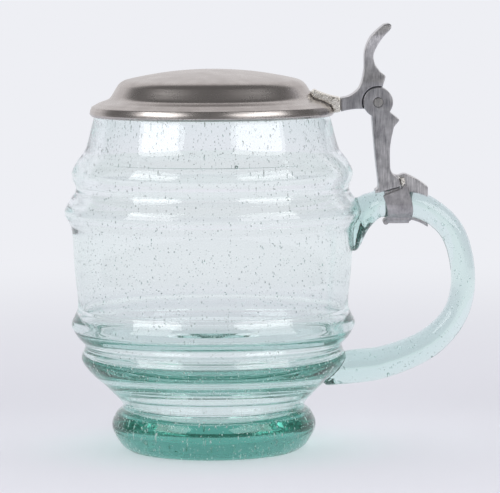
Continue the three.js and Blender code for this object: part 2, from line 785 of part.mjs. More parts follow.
function handleStrap() {
  const gripUnder = gripTop - rodHalfHeight;
  const low = gripUnder - seatGap - strapSheet - strapLap - cutMargin;
  const blank = prism(strapFace(low), -strapOuter, strapOuter);
  const wrapped = blank.intersect(gripRod(seatGap + strapSheet));

  // Above the rod's middle the sheet goes straight up past the post
  const farLeft = strapLeft - strapWidth;
  const farRight = strapRight + strapWidth;
  const high = gripTop + strapEarTip.z + cutMargin;
  const above = polygon([[farLeft, gripTop], [farRight, gripTop], [farRight, high], [farLeft, high]]);
  const sides = blank.intersect(prism(above, -strapOuter, strapOuter));
  const channel = gripBlank(seatGap).add(prism(above, -strapInner, strapInner));

  // Below the rod the ends lap over each other, and one end is rolled up
  const lapTop = gripUnder + strapLapRise;
  const lapLeft = strapLeft + strapLapInset;
  const lapRight = strapRight - strapLapInset / 2;
  const lapHalf = rodHalfWidth - strapLapInset;
  const lapHigh = lapTop + strapLapRise;
  const lapFace = polygon([[lapLeft, low], [lapRight, low], [lapRight, lapHigh], [lapLeft, lapTop]]);
  const lap = prism(lapFace, -lapHalf, lapHalf).intersect(gripRod(seatGap + strapSheet + strapLap));
  const curlHalf = rodHalfWidth - strapCurlSide;
  const curlZ = gripUnder - seatGap - strapSheet;
  const curl = barAlongY(strapLeft + strapCurlInset, curlZ, strapCurl, -curlHalf, curlHalf);

  // A narrow tail of the sheet runs on below the rod, as far as the tongue above it
  const tailStart = strapRight - cutMargin;
  const tailEnd = hingeX + tongueReach;
  const tailLow = gripUnder - rodHalfHeight;
  const under = polygon([
    [tailStart, tailLow], [tailEnd, tailLow], [tailEnd, gripTop], [tailStart, gripTop],
  ]);
  const tail = gripRod(seatGap + strapTailSheet)
    .intersect(prism(under, -strapTailHalfWidth, strapTailHalfWidth));
  return wrapped.add(sides).add(lap).add(curl).add(tail).subtract(channel);
}

// Solder

function lidSolder() {
  const endX = armX - seatGap;
  const armBottom = hingeZ + armStart.z;
  const run = new THREE.Shape();
  run.moveTo(coveMiddle.r - lidSolderSink, coveMiddle.z - lidSolderSink);
  run.lineTo(coveMiddle.r + lidSolderCrest.x, coveMiddle.z + lidSolderCrest.z);
  const bellyX = lidRim + lidSolderBelly.fromRim;
  run.quadraticCurveTo(bellyX, hingeZ + lidSolderBelly.z, endX, armBottom + armHeight);
  run.lineTo(endX, armBottom);
  run.lineTo(lidRim + lidSolderHeel.fromRim, hingeZ + lidSolderHeel.z);
  run.lineTo(lidRim - lidSolderReach, rimZ);
  const block = prism(run, -lidSolderHalfWidth, lidSolderHalfWidth);
  return block.subtract(lidEnvelope(seatGap));
}

// A bead that lies along the sloping top of the strap's ear, beside the tongue
function strapSolder(side) {
  const lift = 2 * seatGap;
  const left = strapRight + strapEarLeft.x;
  const low = gripTop + strapEarLeft.z + lift;
  const slope = (strapEarTip.z - strapEarLeft.z) / (strapEarTip.x - strapEarLeft.x);
  const topLeft = hingeX + plateTop.x + strapSolderTop.x;
  const topZ = footTop + plateTop.up + strapSolderTop.z;
  const bead = polygon([
    [left, low], [left + strapSolderWidth, low + strapSolderWidth * slope],
    [topLeft + strapSolderWidth, topZ], [topLeft, topZ],
  ]);
  const inner = tongueHalfWidth + seatGap;
  const outer = castHalfWidth + strapSolderProud;
  const from = side < 0 ? -outer : inner;
  return prism(bead, from, from + outer - inner);
}

// Assembly

const mug = new THREE.Group();
const lidGroup = new THREE.Group();
mug.add(lidGroup);

function place(group, name, shape, finish) {
  const geometry = shape.isBufferGeometry ? shape : toGeometry(shape);
  const mesh = new THREE.Mesh(geometry, new THREE.MeshStandardMaterial(finish));
  mesh.name = name;
  group.add(mesh);
}

place(mug, 'glass_body', glassBody(), greenGlass);
place(mug, 'glass_handle', glassHandle(), greenGlass);
place(mug, 'hinge_post', hingePost(), pewterCast);
place(mug, 'hinge_pin', hingePin(), pewterCast);
place(mug, 'handle_strap', handleStrap(), pewterCast);
place(mug, 'strap_solder_front', strapSolder(-1), solder);
place(mug, 'strap_solder_back', strapSolder(1), solder);
place(lidGroup, 'lid_shell', lidShell(), pewterLid);
place(lidGroup, 'lid_solder', lidSolder(), solder);
place(lidGroup, 'thumb_lift', thumbLift(), pewterCast);

// The origin is under the middle of the whole mug, handle included
mug.position.x = -(gripReach - beltRing.r) / 2;

export default mug;
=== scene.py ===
# %% [markdown]
# # A lidded beer mug in seedy green glass
# The mug is a ring-moulded glass body with a glass rod for a handle, and a pewter lid
# on a cast hinge that a strap of sheet pewter holds to the rod. Almost everything that
# the eye reads here is refraction: the thick foot and the lower rings look dark teal,
# the thin walls above them are nearly clear. So the glass is built as one true solid
# with its real inside, and the metal is built round it.

# %% Load the frame
import bpy
import bmesh
import json
import math
import random
from mathutils import Matrix, Vector, noise


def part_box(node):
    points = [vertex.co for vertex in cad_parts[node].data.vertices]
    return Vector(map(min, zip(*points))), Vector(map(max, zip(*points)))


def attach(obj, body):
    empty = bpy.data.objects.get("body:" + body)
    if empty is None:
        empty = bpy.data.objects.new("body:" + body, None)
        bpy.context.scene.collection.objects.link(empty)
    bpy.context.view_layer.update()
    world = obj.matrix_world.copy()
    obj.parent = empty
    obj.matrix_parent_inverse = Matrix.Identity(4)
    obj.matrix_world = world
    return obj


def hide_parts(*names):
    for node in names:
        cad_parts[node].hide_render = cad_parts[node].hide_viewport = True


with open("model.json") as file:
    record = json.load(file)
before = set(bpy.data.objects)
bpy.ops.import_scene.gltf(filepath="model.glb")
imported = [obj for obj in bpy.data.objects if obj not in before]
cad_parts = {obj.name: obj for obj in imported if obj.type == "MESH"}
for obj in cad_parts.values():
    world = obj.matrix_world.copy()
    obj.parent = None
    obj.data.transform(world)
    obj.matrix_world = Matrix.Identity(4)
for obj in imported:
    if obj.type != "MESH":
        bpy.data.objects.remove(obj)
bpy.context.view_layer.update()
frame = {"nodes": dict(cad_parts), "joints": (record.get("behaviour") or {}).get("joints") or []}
MM = 0.001
scene = bpy.context.scene
print("nodes:", sorted(frame["nodes"]))

# %% [markdown]
# ## Places taken from the model
# Every place in this script comes from the loaded model: the glass body's box gives the
# axis that it was turned on, and the joint gives the hinge's pin.

# %% Axis and hinge
body_low, body_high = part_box("glass_body")
axis_x = (body_low.x + body_high.x) / 2
lip_height = body_high.z
hinge = Vector(frame["joints"][0]["pos_m"])
print(f"glass axis at x = {axis_x / MM:.2f} mm, hinge at {hinge.x / MM:.2f}, {hinge.z / MM:.2f} mm")

# %% [markdown]
# ## Camera
# A long lens from a little above table height, as a studio would photograph a mug. The
# distances are measured from the foot of the glass axis.

# %% Camera
LENS = 235.1
SENSOR_WIDTH = 36
CLIP_END = 100
CAMERA_SIDE = 13.0 * MM
CAMERA_DISTANCE = 1138.0 * MM
CAMERA_HEIGHT = 175.6 * MM
CAMERA_PITCH = math.radians(5.26)
CAMERA_ROLL = math.radians(-0.3)

camera = bpy.data.objects.new("camera", bpy.data.cameras.new("camera"))
camera.data.lens = LENS
camera.data.sensor_width = SENSOR_WIDTH
camera.data.clip_end = CLIP_END
camera.matrix_world = (Matrix.Translation((axis_x + CAMERA_SIDE, -CAMERA_DISTANCE, CAMERA_HEIGHT))
                       @ Matrix.Rotation(math.pi / 2 - CAMERA_PITCH, 4, "X")
                       @ Matrix.Rotation(CAMERA_ROLL, 4, "Z"))
scene.collection.objects.link(camera)
scene.camera = camera
print(f"camera {CAMERA_DISTANCE / MM:.0f} mm before the axis and {CAMERA_HEIGHT / MM:.0f} mm up")

# %% [markdown]
# ## Helpers for colours and nodes
# `linear` turns a sRGB hex colour into the linear values that Blender works with, `add`
# puts one node into a shader or geometry tree, with its settings and its links, and
# `empty_material` gives a new material and its tree without Blender's own nodes.

# %% Helpers for colours and nodes
def linear(hex_colour):
    channels = [int(hex_colour[i:i + 2], 16) / 255 for i in (1, 3, 5)]
    return (*[c / 12.92 if c <= 0.04045 else ((c + 0.055) / 1.055) ** 2.4 for c in channels], 1.0)


def add(tree, kind, settings=None, links=None):
    node = tree.nodes.new(kind)
    for key, value in (settings or {}).items():
        if isinstance(key, int) or key in node.inputs:
            node.inputs[key].default_value = value
        else:
            setattr(node, key, value)
    for key, source in (links or {}).items():
        tree.links.new(source, node.inputs[key])
    return node


def empty_material(name):
    material = bpy.data.materials.new(name)
    material.use_nodes = True
    material.node_tree.nodes.clear()
    return material, material.node_tree

# %% [markdown]
# ## Helpers for meshes
# bmesh opens a mesh for editing. `rework` opens one, lets one of the three small jobs
# below it run, and writes the mesh back. Faces point outwards on every piece, and inwards
# on a hole in the glass.

# %% Helpers for meshes
SAME_POINT = 1e-6


def rework(mesh, job):
    work = bmesh.new()
    work.from_mesh(mesh)
    job(work)
    work.to_mesh(mesh)
    work.free()


def merge_doubles(work):
    bmesh.ops.remove_doubles(work, verts=work.verts, dist=SAME_POINT)


def face_outwards(work):
    bmesh.ops.recalc_face_normals(work, faces=work.faces)


def face_inwards(work):
    face_outwards(work)
    bmesh.ops.reverse_faces(work, faces=work.faces)

# %% [markdown]
# ## Helpers for pieces
# A piece starts as a mesh of points and faces, or as a copy of one of the model's own
# meshes. Its modifiers are applied before it gets its material and its body, because the
# export and the joints both want a plain mesh.

# %% Helpers for pieces
def mesh_piece(name, verts, faces):
    mesh = bpy.data.meshes.new(name)
    mesh.from_pydata(verts, [], faces)
    mesh.update()
    mesh.shade_smooth()
    piece = bpy.data.objects.new(name, mesh)
    scene.collection.objects.link(piece)
    return piece


def apply_modifiers(piece):
    evaluated = piece.evaluated_get(bpy.context.evaluated_depsgraph_get())
    shaped = bpy.data.meshes.new_from_object(evaluated)
    piece.modifiers.clear()
    piece.data = shaped
    shaped.name = piece.name


def finish_piece(piece, body, slot, material, *nodes):
    piece.data.materials.clear()
    piece.data.materials.append(material)
    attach(piece, body)
    if nodes:
        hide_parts(*nodes)
    piece.data.calc_loop_triangles()
    print(f"{piece.name}: {len(piece.data.loop_triangles)} triangles")

# %% [markdown]
# ## Glass
# The real thing is mould-blown soda-lime glass with a little iron in it, which tints it
# blue-green. Clear glass gets its colour with depth, so its surface stays white and the
# colour is the volume's: red light is lost over centimetres, green and blue much less.
# The mould leaves faint ripples, which bend what is seen through the wall. A seed is a
# gas bubble, so it has the same skin and no tint.

# %% Material: mould-blown seedy glass
GLASS_IOR = 1.5
GLASS_SKIN = "#ffffff"
GLASS_TINT = "#38cbbd"
GLASS_DENSITY = 32.5
RIPPLE_SIZE = 14 * MM
RIPPLE_HEIGHT = 0.02 * MM


def blown_glass(name, tinted=True):
    material, tree = empty_material(name)
    place = add(tree, "ShaderNodeTexCoord").outputs["Object"]
    ripple = add(tree, "ShaderNodeTexNoise", {"Scale": 1 / RIPPLE_SIZE, "Detail": 1.0},
                 {"Vector": place})
    bump = add(tree, "ShaderNodeBump", {"Strength": 1.0, "Distance": RIPPLE_HEIGHT},
               {"Height": ripple.outputs["Fac"]})
    shader = add(tree, "ShaderNodeBsdfPrincipled",
                 {"Base Color": linear(GLASS_SKIN), "Roughness": 0.0, "IOR": GLASS_IOR,
                  "Transmission Weight": 1.0},
                 {"Normal": bump.outputs["Normal"]})
    output = add(tree, "ShaderNodeOutputMaterial", None, {"Surface": shader.outputs["BSDF"]})
    if tinted:
        depth = add(tree, "ShaderNodeVolumeAbsorption",
                    {"Color": linear(GLASS_TINT), "Density": GLASS_DENSITY})
        tree.links.new(depth.outputs["Volume"], output.inputs["Volume"])
    print("material:", name)
    return material


glass = blown_glass("mould-blown seedy glass")
seed_glass = blown_glass("gas seeds in glass", tinted=False)

# %% [markdown]
# The seeds in the thick foot catch the light as white specks. That light is painted on
# them: they are a plain rough white, not clear holes in the glass.

# %% Material: seeds painted white as glints
GLINT_WHITE = "#e7e7e7"


def painted_glints():
    material, tree = empty_material("seeds painted white as glints")
    shader = add(tree, "ShaderNodeBsdfPrincipled", {"Base Color": linear(GLINT_WHITE), "Roughness": 0.5})
    add(tree, "ShaderNodeOutputMaterial", None, {"Surface": shader.outputs["BSDF"]})
    print("material:", material.name)
    return material


glint_seed = painted_glints()

# %% [markdown]
# ## Profiles
# The body and the lid are both shapes of revolution. Their profile is read off the model:
# the edges of the mesh that lie in the plane through the axis form one chain from the
# axis round the wall and back to the axis. A cubic curve that passes through the chain's
# points gives the smooth curve that the coarse solid was sampled from. Between two points
# its slopes look at the points before and after them, and corners stay sharp.

# %% Profiles
IN_PLANE = 5e-6
CORNER = math.radians(34)


def profile_of(node):
    work = bmesh.new()
    work.from_mesh(frame["nodes"][node].data)
    merge_doubles(work)
    on_plane = {v for v in work.verts if abs(v.co.x - axis_x) < IN_PLANE and v.co.y > -SAME_POINT}
    chain = [min((v for v in on_plane if v.co.y < SAME_POINT), key=lambda v: v.co.z)]
    while True:
        onward = [e.other_vert(chain[-1]) for e in chain[-1].link_edges]
        onward = [v for v in onward if v in on_plane and v not in chain]
        if not onward:
            break
        chain.append(min(onward, key=lambda v: (v.co - chain[-1].co).length))
    points = [(v.co.y, v.co.z) for v in chain]
    work.free()
    print(f"profile of {node}: {len(points)} points")
    return points


def point_between(p0, p1, p2, p3, t):
    return tuple(0.5 * (2 * b + (c - a) * t + (2 * a - 5 * b + 4 * c - d) * t ** 2
                        + (3 * b - a - 3 * c + d) * t ** 3) for a, b, c, d in zip(p0, p1, p2, p3))


def smooth_chain(points, steps):
    headings = [math.atan2(b[1] - a[1], b[0] - a[0]) for a, b in zip(points, points[1:])]
    sharp = {0, len(points) - 1}
    for i in range(1, len(points) - 1):
        if abs(math.remainder(headings[i] - headings[i - 1], 2 * math.pi)) > CORNER:
            sharp.add(i)
    smooth = []
    for i in range(len(points) - 1):
        start, end = points[i], points[i + 1]
        before = start if i in sharp else points[i - 1]
        after = end if i + 1 in sharp else points[i + 2]
        smooth += [point_between(before, start, end, after, step / steps) for step in range(steps)]
    return smooth + [points[-1]]

# %% [markdown]
# A turned shape is a stack of rings of points, with one single point where the profile
# meets the axis, so that the poles are closed. Its faces are then all turned outwards.

# %% Turning
def turned(name, chain, segments):
    verts = []
    rings = []
    for r, z in chain:
        at_pole = r < 2 * SAME_POINT
        reach = 0.0 if at_pole else r
        count = 1 if at_pole else segments
        rings.append(range(len(verts), len(verts) + count))
        for i in range(count):
            angle = 2 * math.pi * i / segments
            verts.append((axis_x + reach * math.cos(angle), reach * math.sin(angle), z))
    faces = []
    for lower, upper in zip(rings, rings[1:]):
        for i in range(segments):
            corners = [lower[i % len(lower)], lower[(i + 1) % len(lower)],
                       upper[(i + 1) % len(upper)], upper[i % len(upper)]]
            corners = list(dict.fromkeys(corners))
            if len(corners) > 2:
                faces.append(corners)
    piece = mesh_piece(name, verts, faces)
    rework(piece.data, face_outwards)
    return piece

# %% [markdown]
# ## Worn shapes
# A hand-shaped or cast piece has no sharp edge left. A copy of the model's own mesh is
# rebuilt from voxels, which melts its facets together, and then relaxed, which rounds it.

# %% Worn shapes
RELAX_FACTOR = 0.5


def soft_copy(node, name, voxel, relax):
    piece = bpy.data.objects.new(name, frame["nodes"][node].data.copy())
    scene.collection.objects.link(piece)
    rework(piece.data, merge_doubles)
    remesh = piece.modifiers.new("remesh", "REMESH")
    remesh.mode = "VOXEL"
    remesh.voxel_size = voxel
    remesh.use_smooth_shade = True
    smooth = piece.modifiers.new("relax", "SMOOTH")
    smooth.factor = RELAX_FACTOR
    smooth.iterations = relax
    apply_modifiers(piece)
    return piece

# %% [markdown]
# ## The glass wall
# The wall's outer and inner radius at a height come from crossing the profile there. The
# handle needs the outer one to meet the body, and the seeds need both to stay in the wall.

# %% The glass wall
body_profile = profile_of("glass_body")


def wall_crossings(z):
    """The radii at which the profile crosses a height, from the axis outwards."""
    return sorted(r0 + (r1 - r0) * (z - z0) / (z1 - z0)
                  for (r0, z0), (r1, z1) in zip(body_profile, body_profile[1:])
                  if z0 != z1 and min(z0, z1) <= z <= max(z0, z1))


def outside_radius(z):
    crossings = wall_crossings(z)
    return crossings[-1] if crossings else 0.0


def inside_radius(z):
    """The inner radius, or nothing where the glass is solid across."""
    crossings = sorted(set(wall_crossings(z)))
    return crossings[0] if len(crossings) > 1 else 0.0


half_height = lip_height / 2
half_wall = outside_radius(half_height) - inside_radius(half_height)
print(f"wall at half height: {half_wall / MM:.2f} mm")

# %% [markdown]
# ## One piece of glass
# The handle was laid on hot, so body and handle are one solid without a surface between
# them. The body is turned from its profile, and the handle is the model's bent rod as a
# worn shape. Where the rod lies against the body it is pushed into the wall.

# %% Body and rod
BODY_SEGMENTS = 128
BODY_STEPS = 2
HANDLE_VOXEL = 0.45 * MM
HANDLE_RELAX = 10
CONTACT_GAP = 0.6 * MM
CONTACT_DEPTH = 1.0 * MM

glass_piece = turned("mug_glass", smooth_chain(body_profile, BODY_STEPS), BODY_SEGMENTS)
handle = soft_copy("glass_handle", "handle_glass", HANDLE_VOXEL, HANDLE_RELAX)
for vertex in handle.data.vertices:
    across = Vector((vertex.co.x - axis_x, vertex.co.y, 0))
    if across.length - outside_radius(vertex.co.z) < CONTACT_GAP:
        vertex.co -= across.normalized() * CONTACT_DEPTH

# %% [markdown]
# The seeds in the rod were drawn out with it, so each needs to know which way the rod
# runs. Every seventh face of the rod is kept for that before it is joined: its place, its
# normal, and the direction along the rod, which lies across the normal in the mug's
# middle plane. Faces on the rod's sides look out of that plane and are left out.

# %% Skin of the rod
SKIN_STEP = 7
CLEAR_OF_BODY = 3 * MM
LEAST_RUN = 0.3

rod_skin = []
for face in list(handle.data.polygons)[::SKIN_STEP]:
    middle = face.center
    if math.hypot(middle.x - axis_x, middle.y) > outside_radius(middle.z) + CLEAR_OF_BODY:
        run = Vector(face.normal).cross(Vector((0, 1, 0)))
        if run.length > LEAST_RUN:
            rod_skin.append((Vector(middle), Vector(face.normal), run.normalized()))
print(f"skin of the rod: {len(rod_skin)} places")

# %% [markdown]
# A boolean union joins the two. Clear glass hardly dims the light that it lets through,
# so it casts no lamp's shadow: the metal does, and green light painted on the table round
# the foot stands for the rest.

# %% Body and rod joined
union = glass_piece.modifiers.new("handle", "BOOLEAN")
union.operation = "UNION"
union.solver = "MANIFOLD"
union.object = handle
apply_modifiers(glass_piece)
bpy.data.objects.remove(handle)
glass_piece.data.shade_smooth()
glass_piece.visible_shadow = False
finish_piece(glass_piece, "mug", "green_glass", glass, "glass_body", "glass_handle")

# %% [markdown]
# ## Seeds
# Pot glass like this is full of seeds: gas bubbles from a pinprick to half a millimetre,
# many small and few large, drawn out lengthwise where the glass was blown or pulled. In
# the thick glass below they catch the light as white specks, and that light is painted on
# them: the foot's seeds are white. Python draws lots for where they lie, with a fixed seed:
# in the middle of the wall for the belly and the neck, from the skin inwards for the foot,
# both as shares of the wall's thickness from the outside, and some millimetres under the
# skin for the rod.

# %% Seeds in the body
SEEDS_IN_BELLY = 3000
SEEDS_IN_NECK = 1000
SEEDS_IN_FOOT = 3000
FOOT_CLEAR = 1.0 * MM
THICK_GLASS_TOP = 35 * MM
NECK_FOOT = 98 * MM
LIP_CLEAR = 1.5 * MM
MID_WALL = (0.35, 0.65)
UNDER_SKIN = (0.06, 0.6)
LOT = 11
dice = random.Random(LOT)


def seed_in_body(z, depths):
    outer = outside_radius(z)
    r = outer - dice.uniform(*depths) * (outer - inside_radius(z))
    angle = dice.uniform(0, 2 * math.pi)
    return Vector((axis_x + r * math.cos(angle), r * math.sin(angle), z))


def seed_shape(smallest, largest, stretch):
    """Half axes of a bubble between two sizes in millimetres, up to 1 + stretch times as high."""
    size = (smallest + (largest - smallest) * dice.random() ** 2) * MM
    return Vector((size, size, size * (1 + stretch * dice.random() ** 2)))


def strewn(count, low, high, depths, sizes):
    """Seeds as place, half axes and turn, anywhere in the wall between two heights."""
    return [(seed_in_body(dice.uniform(low, high), depths), seed_shape(*sizes), Vector())
            for _ in range(count)]


belly_seeds = strewn(SEEDS_IN_BELLY, THICK_GLASS_TOP, NECK_FOOT, MID_WALL, (0.10, 0.24, 1.0))
neck_seeds = strewn(SEEDS_IN_NECK, NECK_FOOT, lip_height - LIP_CLEAR, MID_WALL, (0.09, 0.22, 4.0))
foot_seeds = strewn(SEEDS_IN_FOOT, FOOT_CLEAR, THICK_GLASS_TOP, UNDER_SKIN, (0.09, 0.24, 0.6))
print("seeds in belly, neck and foot:", len(belly_seeds), len(neck_seeds), len(foot_seeds))

# %% Seeds in the rod
SEEDS_IN_ROD = 360
ROD_DEPTHS = (1.2, 4.0)

rod_seeds = []
for _ in range(SEEDS_IN_ROD):
    place, normal, run = dice.choice(rod_skin)
    depth = dice.uniform(*ROD_DEPTHS) * MM
    turn = run.to_track_quat("Z", "Y").to_euler()
    rod_seeds.append((place - normal * depth, seed_shape(0.06, 0.20, 3.0), Vector(turn)))
print("seeds in the rod:", len(rod_seeds))

# %% [markdown]
# ## Air thread
# One seed was caught by the mould's edge under the neck and drawn out into an air thread
# that runs a quarter of the way round the glass: a thin dark line with a knot in it. It
# is a tube of small rings, thick in the middle and thin at both ends. It is a hole in
# the glass, so its skin is turned inwards. The knot is one more seed of the neck.

# %% Knot
THREAD_DEPTH = 0.75 * MM
KNOT_SIDE = 8.5 * MM
KNOT_HEIGHT = 101.6 * MM
KNOT_SIZE = (0.65, 0.5, 0.65)

thread_reach = outside_radius(KNOT_HEIGHT) - THREAD_DEPTH
knot = Vector((axis_x + KNOT_SIDE, -math.sqrt(thread_reach ** 2 - KNOT_SIDE ** 2), KNOT_HEIGHT))
neck_seeds.append((knot, Vector(KNOT_SIZE) * MM, Vector()))
print(f"knot {thread_reach / MM:.1f} mm from the axis, {KNOT_HEIGHT / MM:.1f} mm up")

# %% Thread
THREAD_START = math.radians(-135)
THREAD_END = math.radians(-48)
THREAD_HEIGHT = KNOT_HEIGHT - 0.5 * MM
THREAD_RADIUS = 0.11 * MM
THREAD_TIP = 0.15
THREAD_WOBBLE = 0.3
WOBBLE_COUNT = 9
THREAD_STEPS = 60
THREAD_SIDES = 6

thread_verts = []
for step in range(THREAD_STEPS + 1):
    share = step / THREAD_STEPS
    angle = THREAD_START + share * (THREAD_END - THREAD_START)
    wobble = 1 + THREAD_WOBBLE * noise.noise(Vector((WOBBLE_COUNT * share, 0, 0)))
    thick = THREAD_RADIUS * (THREAD_TIP + (1 - THREAD_TIP) * math.sin(math.pi * share)) * wobble
    for side in range(THREAD_SIDES):
        turn = 2 * math.pi * side / THREAD_SIDES
        r = thread_reach + thick * math.cos(turn)
        thread_verts.append((axis_x + r * math.cos(angle), r * math.sin(angle),
                             THREAD_HEIGHT + thick * math.sin(turn)))

last = THREAD_STEPS * THREAD_SIDES
thread_faces = [range(THREAD_SIDES), range(last, last + THREAD_SIDES)]
for a in range(0, last, THREAD_SIDES):
    for side in range(THREAD_SIDES):
        b = a + (side + 1) % THREAD_SIDES
        thread_faces.append((a + side, a + side + THREAD_SIDES, b + THREAD_SIDES, b))

thread = mesh_piece("air_thread", thread_verts, thread_faces)
rework(thread.data, face_inwards)
thread.visible_shadow = False
finish_piece(thread, "mug", "green_glass", seed_glass)

# %% [markdown]
# ## Bubbles on the points
# Thousands of the same small sphere are a job for Geometry Nodes: the tree puts one
# bubble on each point, turned and stretched by the point's own attributes. A clear
# bubble is a hole in the glass, so its skin faces inwards, out of the glass.

# %% Tree for bubbles
BUBBLE_SEGMENTS = 8
BUBBLE_RINGS = 5


def seed_tree(material):
    tree = bpy.data.node_groups.new("seeds", "GeometryNodeTree")
    tree.interface.new_socket("Geometry", in_out="INPUT", socket_type="NodeSocketGeometry")
    segments = tree.interface.new_socket("Bubble segments", in_out="INPUT", socket_type="NodeSocketInt")
    rings = tree.interface.new_socket("Bubble rings", in_out="INPUT", socket_type="NodeSocketInt")
    tree.interface.new_socket("Geometry", in_out="OUTPUT", socket_type="NodeSocketGeometry")
    given = add(tree, "NodeGroupInput").outputs
    bubble = add(tree, "GeometryNodeMeshUVSphere", {"Radius": 1.0},
                 {"Segments": given["Bubble segments"], "Rings": given["Bubble rings"]})
    inward = add(tree, "GeometryNodeFlipFaces", None, {"Mesh": bubble.outputs["Mesh"]})
    smooth = add(tree, "GeometryNodeSetShadeSmooth", None, {"Geometry": inward.outputs["Mesh"]})
    shape = add(tree, "GeometryNodeInputNamedAttribute", {"data_type": "FLOAT_VECTOR", "Name": "shape"})
    turn = add(tree, "GeometryNodeInputNamedAttribute", {"data_type": "FLOAT_VECTOR", "Name": "turn"})
    rotation = add(tree, "FunctionNodeEulerToRotation", None, {"Euler": turn.outputs["Attribute"]})
    placed = add(tree, "GeometryNodeInstanceOnPoints", None,
                 {"Points": given["Geometry"], "Instance": smooth.outputs["Geometry"],
                  "Rotation": rotation.outputs["Rotation"], "Scale": shape.outputs["Attribute"]})
    real = add(tree, "GeometryNodeRealizeInstances", None, {"Geometry": placed.outputs["Instances"]})
    dressed = add(tree, "GeometryNodeSetMaterial", {"Material": material},
                  {"Geometry": real.outputs["Geometry"]})
    add(tree, "NodeGroupOutput", None, {"Geometry": dressed.outputs["Geometry"]})
    return tree, {segments.identifier: BUBBLE_SEGMENTS, rings.identifier: BUBBLE_RINGS}

# %% Bubbles
for name, points, material in (("seeds_in_belly", belly_seeds, seed_glass),
                               ("seeds_in_neck", neck_seeds, seed_glass),
                               # the foot's seeds are painted white, as glints
                               ("seeds_in_foot", foot_seeds, glint_seed),
                               ("seeds_in_rod", rod_seeds, seed_glass)):
    seeds = mesh_piece(name, [place for place, _, _ in points], [])
    for title, column in (("shape", 1), ("turn", 2)):
        attribute = seeds.data.attributes.new(title, "FLOAT_VECTOR", "POINT")
        attribute.data.foreach_set("vector", [c for point in points for c in point[column]])
    instancer = seeds.modifiers.new("bubbles", "NODES")
    instancer.node_group, seed_inputs = seed_tree(material)
    for identifier, value in seed_inputs.items():
        instancer[identifier] = value
    apply_modifiers(seeds)
    seeds.visible_shadow = False
    finish_piece(seeds, "mug", "green_glass", material)

# %% [markdown]
# ## Pewter and solder
# The lid is spun from sheet, the hinge is cast and filed, the strap is rolled, and solder
# runs where they meet. All are tin alloys, so all are metals with their colour in the
# reflection. Two things are only on the castings: the colour is darker round a point below
# the hinge pin, from the arm to the pin, and a highlight is painted on the narrow sides.

# %% Darker tone and painted side highlight of the castings
DARKER_CENTRE = hinge + Vector((-10, 0, -5)) * MM
DARKER_REACH = (8 * MM, 31 * MM)
SIDE_HIGHLIGHT_PAINT = "#d6d6da"
SIDE_HIGHLIGHT_RANGE = (0.5, 0.93)


def darken_and_highlight(tree, place, colour, darker_tone):
    """Darkens a colour round a point below the hinge pin, and paints a highlight on the narrow sides."""
    # The colour is darker round a point below the hinge pin, fading out between the two reaches.
    from_centre = add(tree, "ShaderNodeVectorMath", {"operation": "DISTANCE", 1: DARKER_CENTRE},
                      {0: place})
    darker_share = add(tree, "ShaderNodeMapRange", {"From Min": DARKER_REACH[0], "From Max": DARKER_REACH[1],
                                            "To Min": 1.0, "To Max": 0.0},
               {"Value": from_centre.outputs["Value"]})
    dimmed = add(tree, "ShaderNodeMix",
                 {"data_type": "RGBA", "blend_type": "MULTIPLY", "B": linear(darker_tone)},
                 {"Factor": darker_share.outputs["Result"], "A": colour})
    # Painted highlight: faces that do not look along Y are painted lighter, as if they caught the light.
    normal = add(tree, "ShaderNodeTexCoord").outputs["Normal"]
    facing = add(tree, "ShaderNodeSeparateXYZ", None, {"Vector": normal})
    flat_side = add(tree, "ShaderNodeMath", {"operation": "ABSOLUTE"}, {0: facing.outputs["Y"]})
    painted_side_highlight = add(tree, "ShaderNodeMapRange", {"From Min": SIDE_HIGHLIGHT_RANGE[0], "From Max": SIDE_HIGHLIGHT_RANGE[1],
                                                   "To Min": 1.0, "To Max": 0.0},
                      {"Value": flat_side.outputs["Value"]})
    filed = add(tree, "ShaderNodeMix", {"data_type": "RGBA", "B": linear(SIDE_HIGHLIGHT_PAINT)},
                {"Factor": painted_side_highlight.outputs["Result"], "A": dimmed.outputs["Result"]})
    return filed.outputs["Result"]

# %% [markdown]
# The marks of the tool are ground in. With the patina they decide where the dark oxide
# stays, and dark places are also a little rougher than the worn, bright ones.

# %% Material: worn metal
MARKS_SHARE = 0.55
WORN_RANGE = (0.34, 0.66)
ROUGHER_WHERE_DARK = 0.06
SMOOTHER_WHERE_BRIGHT = 0.04


